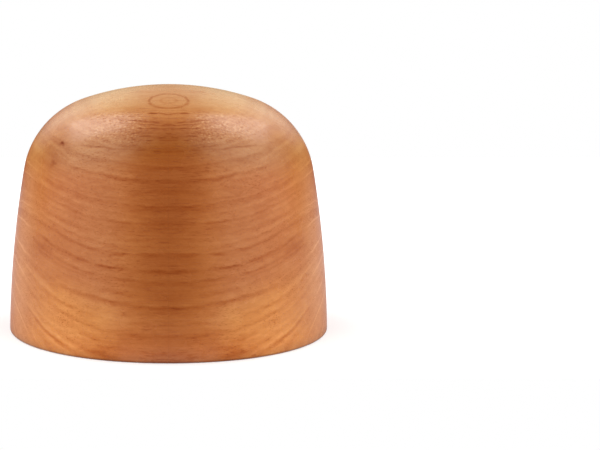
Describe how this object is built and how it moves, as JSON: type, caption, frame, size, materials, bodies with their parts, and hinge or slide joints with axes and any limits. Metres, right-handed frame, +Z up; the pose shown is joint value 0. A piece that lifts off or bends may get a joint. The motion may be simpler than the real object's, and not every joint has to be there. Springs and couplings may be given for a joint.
{
  "type": "hat block",
  "caption": "Wooden hat block: a domed open-crown form on a head-sized oval, glued up from matched quarters on hidden dowels, with a blind spindle socket in its flat base.",
  "frame": {"origin": "middle of the flat base, on the block's upright axis", "axes": "+X along the head's long way, +Y along its short way, +Z up through the crown"},
  "size_m": [0.201, 0.1676, 0.1527],
  "materials": {
    "block_wood": "hand-rubbed satin oil over red-brown straight-grained timber",
    "dowel_wood": "bare turned hardwood"
  },
  "bodies": {
    "root": {"front_left_quarter": "block_wood", "front_right_quarter": "block_wood", "back_left_quarter": "block_wood", "back_right_quarter": "block_wood", "front_dowel_low": "dowel_wood", "front_dowel_high": "dowel_wood", "back_dowel_low": "dowel_wood", "back_dowel_high": "dowel_wood", "left_dowel_low": "dowel_wood", "left_dowel_high": "dowel_wood", "right_dowel_low": "dowel_wood", "right_dowel_high": "dowel_wood"}
  },
  "joints": []
}
